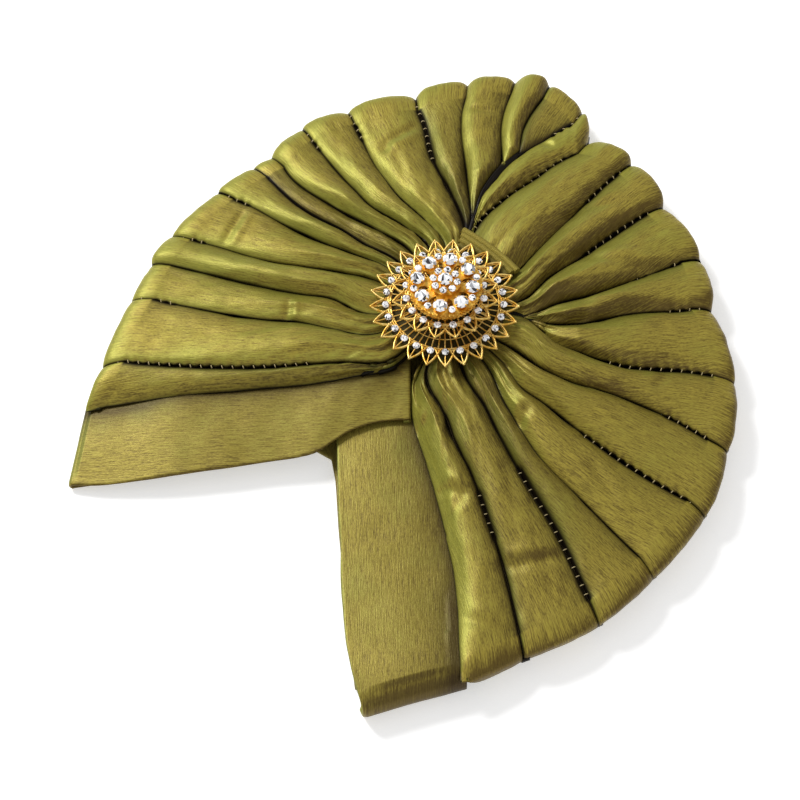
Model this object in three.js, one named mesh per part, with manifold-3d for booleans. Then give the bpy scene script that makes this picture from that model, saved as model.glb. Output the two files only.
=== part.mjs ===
// A pleated turban undercap lying flat on its back, with a three-tier filigree brooch on the pleats' hub.
// Millimetres, +Z up. The origin is under the hub, on the surface that the cap lies on.
// Bearings are degrees clockwise from +Y, seen from above, and reach is the distance from the hub's axis.
import * as THREE from "three";
import { mergeVertices } from "three/addons/utils/BufferGeometryUtils.js";
import Module from "manifold-3d";

// Cloth
const WALL = 2;
const GAP = 0.4;
const EDGE_ROLL = 8;
const HUB_HOLE = 14;
const HUB_VALLEY = 18.5;
const EDGE_VALLEY = 2 * EDGE_ROLL;
const WALL_UNDER_FLANKS = 2.3;
const SLIM_PLEAT = 0.42;

// Where the valleys come down from the hub to the edge, as shares of the way between them
const VALLEY_FALLS = { from: 0.2, to: 0.9 };

// The reaches at which a fold's bearings are given: at the hub, near it and far from it
const FOLD_KNOTS = { hub: 35, near: 65, far: 95 };

// A row for each fold line: its bearings at the knots and at the edge, and its reach at the edge.
// high, bulge and peak describe the pleat that follows it clockwise: the roll's height over the folds
// beside it, how far its end stands out, and where its crest lies from this fold (0) to the next (1).
const FOLDS = [
  { hub: 221, near: 239, far: 246, edge: 255, reach: 165, high: 4.5, bulge: 1, peak: 0.45 },
  { hub: 226, near: 246, far: 253, edge: 262, reach: 154, high: 4, bulge: 1, peak: 0.5 },
  { hub: 251, near: 266, far: 271, edge: 275, reach: 141, high: 3, bulge: 0.5, peak: 0.45 },
  { hub: 268, near: 279, far: 281, edge: 283, reach: 136, high: 5.5, bulge: 1.5, peak: 0.35 },
  { hub: 299, near: 292, far: 290, edge: 290, reach: 132, high: 4, bulge: 0.5, peak: 0.5 },
  { hub: 313, near: 305, far: 304, edge: 303, reach: 125, high: 4.5, bulge: 2, peak: 0.5 },
  { hub: 322, near: 314, far: 312, edge: 314, reach: 121, high: 2, bulge: 1, peak: 0.4 },
  { hub: 336, near: 322, far: 318, edge: 320, reach: 119, high: 5, bulge: 1.5, peak: 0.4 },
  { hub: 351, near: 331, far: 329, edge: 328, reach: 124, high: 4.5, bulge: 3, peak: 0.45 },
  { hub: 363, near: 344, far: 339, edge: 339, reach: 123, high: 4.5, bulge: 3.5, peak: 0.5 },
  { hub: 378, near: 363, far: 356, edge: 353, reach: 124, high: 5, bulge: 6, peak: 0.5 },
  { hub: 380, near: 371, far: 366, edge: 366, reach: 131, high: 5, bulge: 4, peak: 0.55 },
  { hub: 381, near: 378, far: 375, edge: 375, reach: 137, high: 5, bulge: 4, peak: 0.5 },
  { hub: 382, near: 379, far: 382, edge: 382, reach: 140, high: 3.5, bulge: 3, peak: 0.55 },
  { hub: 383, near: 380, far: 386, edge: 392, reach: 132, high: 5.5, bulge: 3, peak: 0.45 },
  { hub: 385, near: 383, far: 392, edge: 398, reach: 118, high: 5.5, bulge: 5, peak: 0.45 },
  { hub: 420, near: 410, far: 407, edge: 406, reach: 122, high: 5, bulge: 3, peak: 0.5 },
  { hub: 440, near: 425, far: 421, edge: 419, reach: 118, high: 5, bulge: 1.5, peak: 0.5 },
  { hub: 453, near: 441, far: 437, edge: 434, reach: 121, high: 5, bulge: 1.5, peak: 0.5 },
  { hub: 454, near: 454, far: 449, edge: 447, reach: 120, high: 5, bulge: 0.5, peak: 0.5 },
  { hub: 456, near: 469, far: 467, edge: 464, reach: 132, high: 5, bulge: 1.5, peak: 0.5 },
  { hub: 481, near: 483, far: 479, edge: 479, reach: 140, high: 5, bulge: 1.5, peak: 0.5 },
  { hub: 495, near: 497, far: 496, edge: 491, reach: 149, high: 4.5, bulge: 1, peak: 0.5 },
  { hub: 505, near: 511, far: 509, edge: 505, reach: 155, high: 5.5, bulge: 1.5, peak: 0.55 },
  { hub: 525, near: 520, far: 517, edge: 517, reach: 163, high: 5, bulge: 1.5, peak: 0.5 },
  { hub: 555, near: 537, far: 530, edge: 529, reach: 169, high: 4.5, bulge: 0.5, peak: 0.45 },
  { hub: 566, near: 550, far: 543, edge: 538, reach: 179, high: 0, bulge: 0, peak: 0.5 },
];

// A pleat's cross section in quarters, on either side of its crest: share of the way and of the height
const ROLL_SECTION = [
  { way: 0, rise: 0 },
  { way: 0.45, rise: 0.8 },
  { way: 1, rise: 1 },
];
const CREST_RISE_AT_HUB = 0.55;
const CREST_RISE_AT_EDGE = 0.7;
const CREST_FULL = { from: 0.45, to: 0.7 };

// The crown's rows from the hub to the start of the edge roll, as shares of the fold line, and the edge
// roll's rows, as angles round it from its top to its foot
const CROWN_ROWS = [0, 0.13, 0.27, 0.43, 0.61, 0.8, 1];
const ROLL_ANGLES = [90, 45, 0, -45, -90];

// The bands' top faces and end rolls
const BAND_TOP = 10.5;
const CROSSING_TOP = 13.2;
const FREE_EDGE_OVER_BAND = 1.3;
const CROSSING_REACH = { from: 56, to: 72 };
const TUCK = 6;
const TUCK_REACH = { ends: 128, gone: 142 };
const DIP_REACH = { ends: 118, gone: 150 };
const SEARCH_STEPS = 30;
const BAND_PUFF = 1.2;
const BAND_PARTS = [0, 0.33, 0.67, 1];
const BAND_ROLL_ANGLES = [-90, -45, 0, 45, 90];

// The front band from the left tip to the hub: x along it, the rim's y and the top face's z
const FRONT_TIP = { rimAlong: -166, foldAlong: -160.5, rim: -82.5, top: 10.5, margin: 14 };
const FRONT_STATIONS = [
  { along: -140, rim: -81, top: 10.5 },
  { along: -120, rim: -78.5, top: 10.5 },
  { along: -100, rim: -76, top: 10.5 },
  { along: -80, rim: -72.5, top: 10.5 },
  { along: -64, rim: -67.5, top: 11.5 },
  { along: -50, rim: -61.5, top: 13.2 },
  { along: -38, rim: -55, top: 13.2 },
  { along: -26, rim: -51.5, top: 13.2 },
  { along: -15.5, rim: -51, top: 13.2 },
];

// The side band from the near tip to the hub: y along it, the rim's x and the top face's z
const SIDE_TIP = { rimAlong: -192, foldAlong: -179, rim: -36, top: 15, margin: 14 };
const SIDE_STATIONS = [
  { along: -170, rim: -41.5, top: 14.6 },
  { along: -156, rim: -43.5, top: 13 },
  { along: -142, rim: -44.5, top: 11.2 },
  { along: -128, rim: -45.5, top: 10.5 },
  { along: -112, rim: -46, top: 10.5 },
  { along: -96, rim: -47, top: 10.5 },
  { along: -80, rim: -47.5, top: 10.5 },
  { along: -64, rim: -48, top: 10 },
  { along: -52, rim: -48, top: 10 },
  { along: -44, rim: -46, top: 10 },
];

// The back layer's rim in the notch, from the left tip to the near tip
const BACK_RIM = [
  { x: -120, y: -78 },
  { x: -90, y: -74 },
  { x: -62, y: -71 },
  { x: -53, y: -73 },
  { x: -51, y: -84 },
  { x: -47, y: -100 },
  { x: -44, y: -130 },
  { x: -42, y: -155 },
];
const BACK_GAP = 0.6;

// The back layer's corners beside the bands' end rolls: the near tip's fold and rim, the left tip's fold
const BACK_CORNERS = { nearFold: 5.7, nearRim: -39, leftFold: -42.5 };

// The pad over the gathered ends of the pleats, and its strip towards the far right
const WRAP = { hole: 10.5, reach: 28, bottom: 23.9, thick: 1.2, steps: 18, besideStrip: 5 };
const WRAP_STRIP = [
  { bearing: 15, reach: 44 },
  { bearing: 37, reach: 39.5 },
  { bearing: 58, reach: 40.5 },
];

// The brooch's two tiers of pointed petals: reaches of the petals' tips and valleys, of the ring that
// they stand on and of the plain middle, the first petal's bearing, and the small stones on the ring
const OUTER = {
  petals: 25, tip: 33.5, valley: 27.6, ring: 24.6, middle: 13.5, first: 7.2,
  bottom: 26.2, thick: 1.1, stoneReach: 26.3,
};
const MIDDLE = {
  petals: 16, tip: 23.8, valley: 18.6, ring: 16.8, middle: 16.8, first: 11.25,
  bottom: 34.2, thick: 1.1, stoneReach: 17.4,
};
const WIRE = 0.95;
const SMALL_STONE = { sides: 8, radius: 1.6, table: 0.95, high: 1.2, sunk: 0.4 };

// A petal's outer edge and the gap on one side of its rib: shares of the half pitch and of its length
const PETAL_EDGE = [
  { across: 0.7, along: 0.52 },
  { across: 0, along: 1 },
];
const PETAL_GAP = { foot: 0.1, outerAcross: 0.7, outerAlong: 0.06, top: 0.72 };

// The brooch's top: a pierced plate on a post, with a skirt round it and a raised rosette in the middle
const TOP = {
  bottom: 40.4, thick: 1.2, reach: 15.8, steps: 24, ringReach: 12.4, first: 10.7, count: 8, rimReach: 14.2,
};
const ROSETTE = { radius: 6.9, sides: 16, high: 2.2, stoneReach: 5.2 };
const LEAF = [
  { reach: 7.3, across: 0 },
  { reach: 9, across: 1.3 },
  { reach: 11.2, across: 1.2 },
  { reach: 12.2, across: 0 },
];
const CUP = { sides: 8, radius: 2.9, high: 0.9, centreHigh: 1.4 };
const SKIRT = { topReach: 16.4, lowReach: 14.8, drop: 4.2, wall: 1.1 };
const POST = { radius: 3, clear: 0.4, sides: 12 };
const COLLAR = { inner: 3.5, outer: 5.2, sides: 12 };
const MAIN_STONE = {
  sides: 8, radius: 3.25, table: 1.9, foot: 2.6, girdleLow: 0.7, girdleHigh: 1, high: 2.2,
};
const PIN = {
  plateR: 9, plateBottom: 23.6, plateTop: 25.9, stemLong: 34, stemWide: 1.6, stemSunk: 0.1, sides: 12,
};

const wasm = await Module();
wasm.setup();

const radians = THREE.MathUtils.degToRad;
const blend = THREE.MathUtils.lerp;
const ease = THREE.MathUtils.smoothstep;

// The place at a bearing and reach, in plan
function atBearing(bearing, reach) {
  return new THREE.Vector2(reach * Math.sin(radians(bearing)), reach * Math.cos(radians(bearing)));
}

// A solid from a closed geometry, for joins and cuts
function toSolid(geometry) {
  const bare = geometry.index ? geometry.toNonIndexed() : geometry.clone();
  for (const name of Object.keys(bare.attributes)) {
    if (name !== "position") {
      bare.deleteAttribute(name);
    }
  }
  const merged = mergeVertices(bare, 1e-4);
  return new wasm.Manifold(
    new wasm.Mesh({
      numProp: 3,
      vertProperties: merged.attributes.position.array,
      triVerts: new Uint32Array(merged.index.array),
    }),
  );
}

// The geometry of a solid after its joins and cuts
function toGeometry(solid) {
  const mesh = solid.getMesh();
  const geometry = new THREE.BufferGeometry();
  geometry.setAttribute("position", new THREE.BufferAttribute(mesh.vertProperties, 3));
  geometry.setIndex(new THREE.BufferAttribute(mesh.triVerts, 1));
  return geometry;
}

function joinAll(geometries) {
  const solids = geometries.map(toSolid);
  return toGeometry(solids.reduce((whole, next) => whole.add(next)));
}

// A closed wall of cloth from a grid of rows, each a list of points { face, back } on its two faces
function clothWall(rows) {
  const wide = rows[0].length;
  const positions = [];
  for (const side of ["face", "back"]) {
    for (const row of rows) {
      for (const point of row) {
        positions.push(point[side].x, point[side].y, point[side].z);
      }
    }
  }
  const backStart = rows.length * wide;
  const triangles = [];
  const quad = (a, b, c, d) => triangles.push(a, b, c, a, c, d);
  for (let i = 0; i + 1 < rows.length; i += 1) {
    for (let j = 0; j + 1 < wide; j += 1) {
      const a = i * wide + j;
      const b = a + wide;
      quad(a, a + 1, b + 1, b);
      quad(backStart + a, backStart + b, backStart + b + 1, backStart + a + 1);
    }
  }
  for (let j = 0; j + 1 < wide; j += 1) {
    const last = (rows.length - 1) * wide + j;
    quad(backStart + j, backStart + j + 1, j + 1, j);
    quad(last, last + 1, backStart + last + 1, backStart + last);
  }
  for (let i = 0; i + 1 < rows.length; i += 1) {
    const first = i * wide;
    const last = first + wide - 1;
    quad(first, first + wide, backStart + first + wide, backStart + first);
    quad(backStart + last, backStart + last + wide, last + wide, last);
  }
  const geometry = new THREE.BufferGeometry();
  geometry.setAttribute("position", new THREE.Float32BufferAttribute(positions, 3));
  geometry.setIndex(triangles);
  return geometry;
}

// A fold's line from the hub to the start of the edge roll, as bearing and reach
function foldLine(fold) {
  return new THREE.SplineCurve([
    new THREE.Vector2(fold.hub, HUB_HOLE),
    new THREE.Vector2(fold.hub, FOLD_KNOTS.hub),
    new THREE.Vector2(fold.near, FOLD_KNOTS.near),
    new THREE.Vector2(fold.far, FOLD_KNOTS.far),
    new THREE.Vector2(fold.edge, fold.reach - EDGE_ROLL),
  ]);
}

const foldLines = FOLDS.map(foldLine);

// The height of the folds' valleys over the surface, at a share of the way from hub to edge
function valleyHeight(share) {
  return blend(HUB_VALLEY, EDGE_VALLEY, ease(share, VALLEY_FALLS.from, VALLEY_FALLS.to));
}

// How much of a pleat's full height it has at a share of the way from hub to edge
function crestShare(share) {
  const nearHub = blend(CREST_RISE_AT_HUB, 1, ease(share, 0, CREST_FULL.from));
  return blend(nearHub, CREST_RISE_AT_EDGE, ease(share, CREST_FULL.to, 1));
}

// How far a free edge of the crown dips from its valley height so that it lies on the band under it
function dipToBand(reach, share) {
  const bandTop = blend(CROSSING_TOP, BAND_TOP, ease(reach, CROSSING_REACH.from, CROSSING_REACH.to));
  const wanted = bandTop + FREE_EDGE_OVER_BAND + WALL_UNDER_FLANKS;
  return blend(valleyHeight(share) - wanted, 0, ease(reach, DIP_REACH.ends, DIP_REACH.gone));
}

// How near a point of a pleat is to the crown's free edge: 0 on all pleats but the first and the last
function nearFreeEdge(k, part) {
  if (k === 0) {
    return 1 - part;
  }
  const lastPleat = FOLDS.length - 2;
  if (k === lastPleat) {
    return part;
  }
  return k > lastPleat ? 1 : 0;
}

// A place on the pleat after fold k, at a share of the way out and at part 0 to 1 across the pleat
function onPleat(k, part, share) {
  const from = foldLines[k].getPoint(share);
  const to = foldLines[Math.min(k + 1, FOLDS.length - 1)].getPoint(share);
  const reach = blend(from.y, to.y, part);
  const width = radians(to.x - from.x) * reach;
  return { bearing: blend(from.x, to.x, part), reach, high: Math.min(FOLDS[k].high, width * SLIM_PLEAT) };
}

// One point of the crown, with its rise on the pleat's section
function crownPoint(k, part, rise, share) {
  const { bearing, reach, high } = onPleat(k, part, share);
  const plan = atBearing(bearing, share < 1 ? reach : reach - GAP / 2);
  const dip = dipToBand(reach, share) * nearFreeEdge(k, part) ** 2;
  const z = valleyHeight(share) + high * crestShare(share) * rise - dip;
  return {
    face: new THREE.Vector3(plan.x, plan.y, z),
    back: new THREE.Vector3(plan.x, plan.y, z - WALL_UNDER_FLANKS),
  };
}

// One point of the edge roll, at an angle round it
function edgePoint(k, part, rise, degrees) {
  const { bearing, reach, high } = onPleat(k, part, 1);
  const angle = radians(degrees);
  const bulge = blend(FOLDS[k].bulge, 0, ease(-Math.sin(angle), 0, 1)) * rise;
  const lift = high * CREST_RISE_AT_EDGE * rise * Math.max(0, Math.sin(angle));
  const outward = (radius) => {
    const plan = atBearing(bearing, reach + GAP / 2 + (radius + bulge) * Math.cos(angle));
    return new THREE.Vector3(plan.x, plan.y, EDGE_ROLL + (radius + lift) * Math.sin(angle));
  };
  return { face: outward(EDGE_ROLL), back: outward(EDGE_ROLL - WALL) };
}

// A wall of cloth across all the pleats, with a row for each step of the way out or round the roll
function pleatedWall(steps, pointAt) {
  const rows = steps.map((step) => {
    const points = [];
    for (let k = 0; k + 1 < FOLDS.length; k += 1) {
      const peak = FOLDS[k].peak;
      for (const { way, rise } of ROLL_SECTION) {
        points.push(pointAt(k, way * peak, rise, step));
      }
      const { way, rise } = ROLL_SECTION[1];
      points.push(pointAt(k, 1 - way * (1 - peak), rise, step));
    }
    points.push(pointAt(FOLDS.length - 1, 0, 0, step));
    return points;
  });
  return clothWall(rows);
}

// The place on a fold's line where its plan coordinate (x or y) has a wanted value
function onFold(line, axis, wanted) {
  let low = 0;
  let high = 1;
  const value = (share) => {
    const point = line.getPoint(share);
    return atBearing(point.x, point.y)[axis];
  };
  for (let step = 0; step < SEARCH_STEPS; step += 1) {
    const middle = (low + high) / 2;
    if (value(middle) > wanted) {
      low = middle;
    } else {
      high = middle;
    }
  }
  const point = line.getPoint((low + high) / 2);
  return { plan: atBearing(point.x, point.y), reach: point.y };
}

// How far a band's edge goes under the crown's free edge at a reach: a tuck, then a small gap
function tuckAt(reach) {
  return blend(TUCK, -GAP, ease(reach, TUCK_REACH.ends, TUCK_REACH.gone));
}

// The points of a band's end roll, from the margin under it round to its top face
function endRoll(place, tip, along) {
  const radius = tip.top / 2;
  const onRoll = (angle, r) =>
    place(along + radius - r * Math.cos(radians(angle)), radius + r * Math.sin(radians(angle)));
  const points = [{ face: place(along + tip.margin, 0), back: place(along + tip.margin, WALL) }];
  for (const angle of BAND_ROLL_ANGLES) {
    points.push({ face: onRoll(angle, radius), back: onRoll(angle, radius - WALL) });
  }
  return points;
}

// A band between its free rim and one of the crown's free edges, which is fold k. Its length runs along one
// axis of the plan and its width along the other, and its far end goes under the crown.
function band(tip, stations, k, alongAxis) {
  const fold = FOLDS[k];
  const acrossAxis = alongAxis === "x" ? "y" : "x";
  const place = (along, across, z) =>
    alongAxis === "x" ? new THREE.Vector3(along, across, z) : new THREE.Vector3(across, along, z);
  const edgeAt = (reach) => atBearing(fold.edge, reach)[acrossAxis];
  const besideFold = Math.min(edgeAt(fold.reach), edgeAt(fold.reach - EDGE_ROLL - tip.margin)) - GAP;
  const rows = BAND_PARTS.map((part) => {
    const across = blend(tip.rim, besideFold, part);
    const points = endRoll((a, z) => place(a, across, z), tip, blend(tip.rimAlong, tip.foldAlong, part));
    for (const station of stations) {
      const under = onFold(foldLines[k], alongAxis, station.along);
      const edge = under.plan[acrossAxis] + tuckAt(under.reach);
      const puff = station.top > BAND_TOP ? 0 : BAND_PUFF * Math.sin(Math.PI * part);
      const z = station.top + puff;
      points.push({
        face: place(station.along, blend(station.rim, edge, part), z),
        back: place(station.along, blend(station.rim, edge, part), z - WALL),
      });
    }
    return points;
  });
  return clothWall(alongAxis === "x" ? rows : rows.reverse());
}

// A flat plate between two heights from its outline and the outlines of its holes
function plate(outline, holes, bottom, thick) {
  const clockwise = THREE.ShapeUtils.isClockWise(outline);
  const shape = new THREE.Shape(clockwise ? [...outline].reverse() : outline);
  for (const hole of holes) {
    shape.holes.push(new THREE.Path(hole));
  }
  const geometry = new THREE.ExtrudeGeometry(shape, { depth: thick, bevelEnabled: false });
  return geometry.translate(0, 0, bottom);
}

function backPanel() {
  const inset = EDGE_ROLL + BACK_GAP;
  const outline = FOLDS.map((fold) => atBearing(fold.edge, fold.reach - inset));
  const near = SIDE_TIP.margin + BACK_GAP;
  const left = FRONT_TIP.margin + BACK_GAP;
  outline.push(new THREE.Vector2(BACK_CORNERS.nearFold, SIDE_TIP.foldAlong + near));
  outline.push(new THREE.Vector2(BACK_CORNERS.nearRim, SIDE_TIP.rimAlong + near));
  for (const { x, y } of [...BACK_RIM].reverse()) {
    outline.push(new THREE.Vector2(x, y));
  }
  outline.push(new THREE.Vector2(FRONT_TIP.rimAlong + left, FRONT_TIP.rim));
  outline.push(new THREE.Vector2(FRONT_TIP.foldAlong + left, BACK_CORNERS.leftFold));
  return plate(outline, [], 0, WALL);
}

// Points of a circle in plan
function circle(radius, steps) {
  return Array.from({ length: steps }, (_, i) => atBearing((360 * i) / steps, radius));
}

function hubWrap() {
  const first = WRAP_STRIP[0].bearing;
  const last = WRAP_STRIP[WRAP_STRIP.length - 1].bearing;
  const round = circle(WRAP.reach, WRAP.steps).filter((_, i) => {
    const bearing = (360 * i) / WRAP.steps;
    return bearing < first - WRAP.besideStrip || bearing > last + WRAP.besideStrip;
  });
  const strip = WRAP_STRIP.map(({ bearing, reach }) => atBearing(bearing, reach));
  const before = round.filter((point) => point.x >= 0 && point.y > 0 && point.x < strip[0].x);
  const after = round.filter((point) => !before.includes(point));
  return plate([...before, ...strip, ...after], [circle(WRAP.hole, WRAP.steps)], WRAP.bottom, WRAP.thick);
}

// A turned form from its profile, each row a radius and a height, about an axis at a place in plan
function turned(profile, sides, x, y) {
  const points = profile.map(([radius, z]) => new THREE.Vector2(radius, z));
  const geometry = new THREE.LatheGeometry(points, sides);
  return geometry.rotateX(Math.PI / 2).translate(x, y, 0);
}

// A small stone sunk into the metal at a place, with the metal's face at a height
function smallStone(place, z) {
  const { sides, radius, table, high, sunk } = SMALL_STONE;
  const profile = [
    [0, z - sunk],
    [radius, z - sunk],
    [table, z + high],
    [0, z + high],
  ];
  return turned(profile, sides, place.x, place.y);
}

// Shares of a petal's half pitch and length as a place, on its right (side 1) or left (side -1)
function inPetal(tier, bearing, across, along, side) {
  const reach = blend(tier.valley, tier.tip, along);
  const halfPitch = tier.valley * Math.sin(radians(180 / tier.petals));
  const local = new THREE.Vector2(side * across * halfPitch, reach);
  return local.rotateAround(new THREE.Vector2(), -radians(bearing));
}

function petalTier(tier, collar) {
  const pitch = 360 / tier.petals;
  const outline = [];
  const holes = [];
  for (let i = 0; i < tier.petals; i += 1) {
    const bearing = tier.first + i * pitch;
    outline.push(atBearing(bearing - pitch / 2, tier.valley));
    for (const { across, along } of PETAL_EDGE) {
      outline.push(inPetal(tier, bearing, across, along, -1));
    }
    outline.push(inPetal(tier, bearing, PETAL_EDGE[0].across, PETAL_EDGE[0].along, 1));
    const rib = WIRE / 2 / (tier.valley * Math.sin(radians(pitch / 2)));
    for (const side of [-1, 1]) {
      const gap = [
        inPetal(tier, bearing, rib, PETAL_GAP.foot, side),
        inPetal(tier, bearing, PETAL_GAP.outerAcross, PETAL_GAP.outerAlong, side),
        inPetal(tier, bearing, rib, PETAL_GAP.top, side),
      ];
      holes.push(gap);
    }
    if (tier.ring - tier.middle > WIRE) {
      const half = (reach) => pitch / 2 - THREE.MathUtils.radToDeg(WIRE / 2 / reach);
      holes.push([
        atBearing(bearing - half(tier.middle), tier.middle),
        atBearing(bearing - half(tier.ring), tier.ring),
        atBearing(bearing + half(tier.ring), tier.ring),
        atBearing(bearing + half(tier.middle), tier.middle),
      ]);
    }
  }
  if (collar) {
    holes.push(circle(COLLAR.inner, COLLAR.sides));
  }
  const pieces = [plate(outline, holes, tier.bottom, tier.thick)];
  for (let i = 0; i < tier.petals; i += 1) {
    const place = atBearing(tier.first + i * pitch, tier.stoneReach);
    pieces.push(smallStone(place, tier.bottom + tier.thick));
  }
  if (collar) {
    const low = OUTER.bottom + OUTER.thick + POST.clear;
    const high = tier.bottom + tier.thick / 2;
    const ring = [
      [COLLAR.inner, low],
      [COLLAR.outer, low],
      [COLLAR.outer, high],
      [COLLAR.inner, high],
      [COLLAR.inner, low],
    ];
    pieces.push(turned(ring, COLLAR.sides, 0, 0));
  }
  return joinAll(pieces);
}

// Places evenly spaced round the brooch's top
function topPlaces(reach, first) {
  return Array.from({ length: TOP.count }, (_, i) => atBearing(first + (360 * i) / TOP.count, reach));
}

const topFace = TOP.bottom + TOP.thick;
const rosetteFace = topFace + ROSETTE.high;
const betweenStones = TOP.first + 180 / TOP.count;
const cupTops = { ring: topFace + CUP.high, centre: rosetteFace + CUP.centreHigh };

function broochTop() {
  const leaves = topPlaces(1, betweenStones).map((direction) => {
    const side = new THREE.Vector2(direction.y, -direction.x);
    const at = (reach, across) => direction.clone().multiplyScalar(reach).addScaledVector(side, across);
    const there = LEAF.map(({ reach, across }) => at(reach, across));
    const back = LEAF.slice(1, -1).reverse().map(({ reach, across }) => at(reach, -across));
    return [...there, ...back];
  });
  const skirt = [
    [SKIRT.topReach - SKIRT.wall, topFace],
    [SKIRT.lowReach - SKIRT.wall, topFace - SKIRT.drop],
    [SKIRT.lowReach, topFace - SKIRT.drop],
    [SKIRT.topReach, topFace],
    [SKIRT.topReach - SKIRT.wall, topFace],
  ];
  const peg = (radius, low, high, sides, place) =>
    turned([[0, low], [radius, low], [radius, high], [0, high]], sides, place.x, place.y);
  const middle = new THREE.Vector2();
  const inPlate = TOP.bottom + TOP.thick / 2;
  const pieces = [
    plate(circle(TOP.reach, TOP.steps), leaves, TOP.bottom, TOP.thick),
    turned(skirt, TOP.steps, 0, 0),
    peg(POST.radius, OUTER.bottom + OUTER.thick + POST.clear, inPlate, POST.sides, middle),
    peg(ROSETTE.radius, inPlate, rosetteFace, ROSETTE.sides, middle),
    peg(CUP.radius, inPlate, cupTops.centre, CUP.sides, middle),
  ];
  for (const place of topPlaces(TOP.ringReach, TOP.first)) {
    pieces.push(peg(CUP.radius, inPlate, cupTops.ring, CUP.sides, place));
  }
  for (const place of topPlaces(TOP.rimReach, betweenStones)) {
    pieces.push(smallStone(place, topFace));
  }
  for (const place of topPlaces(ROSETTE.stoneReach, TOP.first)) {
    pieces.push(smallStone(place, rosetteFace));
  }
  return joinAll(pieces);
}

function mainStone() {
  const { sides, radius, table, foot, girdleLow, girdleHigh, high } = MAIN_STONE;
  const profile = [
    [0, 0],
    [foot, 0],
    [radius, girdleLow],
    [radius, girdleHigh],
    [table, high],
    [0, high],
  ];
  return turned(profile, sides, 0, 0);
}

function broochPin() {
  const { plateR, plateBottom, plateTop, stemLong, stemWide, stemSunk, sides } = PIN;
  const disc = [
    [0, plateBottom],
    [plateR, plateBottom],
    [plateR, plateTop],
    [0, plateTop],
  ];
  const stem = new THREE.BoxGeometry(stemLong, stemWide, stemWide);
  stem.translate(0, 0, plateBottom - stemWide / 2 + stemSunk);
  return joinAll([turned(disc, sides, 0, 0), stem]);
}

const cloth = { color: "#6f6a2c", roughness: 0.6, metalness: 0 };
const clothUnder = { color: "#5d5530", roughness: 0.7, metalness: 0 };
const gilt = { color: "#d9a441", roughness: 0.3, metalness: 1 };
const crystal = { color: "#f2f4f6", roughness: 0.05, metalness: 0 };

const group = new THREE.Group();

// Adds a piece as a mesh of its own, at a place in its parent
function add(parent, name, geometry, look, x = 0, y = 0, z = 0) {
  const mesh = new THREE.Mesh(geometry, new THREE.MeshStandardMaterial(look));
  mesh.name = name;
  mesh.position.set(x, y, z);
  parent.add(mesh);
}

add(group, "back_panel", backPanel(), clothUnder);
add(group, "side_band", band(SIDE_TIP, SIDE_STATIONS, FOLDS.length - 1, "y"), cloth);
add(group, "front_band", band(FRONT_TIP, FRONT_STATIONS, 0, "x"), cloth);
add(group, "crown_edge", pleatedWall(ROLL_ANGLES, edgePoint), cloth);
add(group, "crown", pleatedWall(CROWN_ROWS, crownPoint), cloth);
add(group, "hub_wrap", hubWrap(), cloth);

const brooch = new THREE.Group();
group.add(brooch);
add(brooch, "brooch_pin", broochPin(), gilt);
add(brooch, "brooch_outer_tier", petalTier(OUTER, false), gilt);
add(brooch, "brooch_middle_tier", petalTier(MIDDLE, true), gilt);
add(brooch, "brooch_top", broochTop(), gilt);
add(brooch, "stone_centre", mainStone(), crystal, 0, 0, cupTops.centre + GAP);
topPlaces(TOP.ringReach, TOP.first).forEach((place, i) => {
  add(brooch, "stone_ring_" + (i + 1), mainStone(), crystal, place.x, place.y, cupTops.ring + GAP);
});

export default group;
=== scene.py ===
import math

import bpy
import numpy as np
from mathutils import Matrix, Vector, noise


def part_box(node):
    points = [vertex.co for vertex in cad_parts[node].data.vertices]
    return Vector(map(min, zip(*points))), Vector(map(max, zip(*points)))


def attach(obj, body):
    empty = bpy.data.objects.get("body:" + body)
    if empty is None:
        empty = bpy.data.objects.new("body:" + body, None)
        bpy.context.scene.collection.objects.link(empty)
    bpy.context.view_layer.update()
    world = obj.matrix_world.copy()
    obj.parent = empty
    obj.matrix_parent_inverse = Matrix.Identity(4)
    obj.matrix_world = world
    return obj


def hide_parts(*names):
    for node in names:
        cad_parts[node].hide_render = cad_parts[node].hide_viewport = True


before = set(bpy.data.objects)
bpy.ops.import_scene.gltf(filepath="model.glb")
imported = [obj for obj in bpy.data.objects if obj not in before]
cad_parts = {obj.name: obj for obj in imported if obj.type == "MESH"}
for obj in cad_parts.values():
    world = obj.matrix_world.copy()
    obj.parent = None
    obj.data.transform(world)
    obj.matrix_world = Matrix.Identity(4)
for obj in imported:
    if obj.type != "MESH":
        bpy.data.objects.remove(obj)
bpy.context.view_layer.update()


# Camera: the cap lies flat and is seen from in front and well above, with the far side of the fan at the
# top of the frame and the near tip of the side band at the bottom.
CAMERA_PLACE = Vector((-0.020, -0.635, 1.039))
CAMERA_AIM = Vector((-0.020, -0.035, 0.0))
CAMERA_LENS = 120


def put(name, data):
    """A new object in the scene."""
    made = bpy.data.objects.new(name, data)
    bpy.context.scene.collection.objects.link(made)
    return made


lens = bpy.data.cameras.new("photo_camera")
lens.lens = CAMERA_LENS
lens.sensor_width = 36
lens.clip_end = 20
camera = put("photo_camera", lens)
camera.location = CAMERA_PLACE
camera.rotation_euler = (CAMERA_AIM - CAMERA_PLACE).to_track_quat("-Z", "Y").to_euler()
bpy.context.scene.camera = camera


# Light and floor: a white sweep under a big soft light from the upper left, with a white room round it,
# so that folds that turn to the right and to the front fall into brown shade.
FLOOR_SIZE = 6.0
FLOOR_DROP = 0.0004
PAPER_GRAIN = 0.0025
PAPER_GLOW = 0.4
KEY = {"place": (-0.85, 0.8, 1.15), "size": 0.5, "watts": 23}
FILL = {"place": (0.3, -1.6, 1.5), "size": 1.6, "watts": 5}
ROOM_STRENGTH = 0.44


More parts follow.
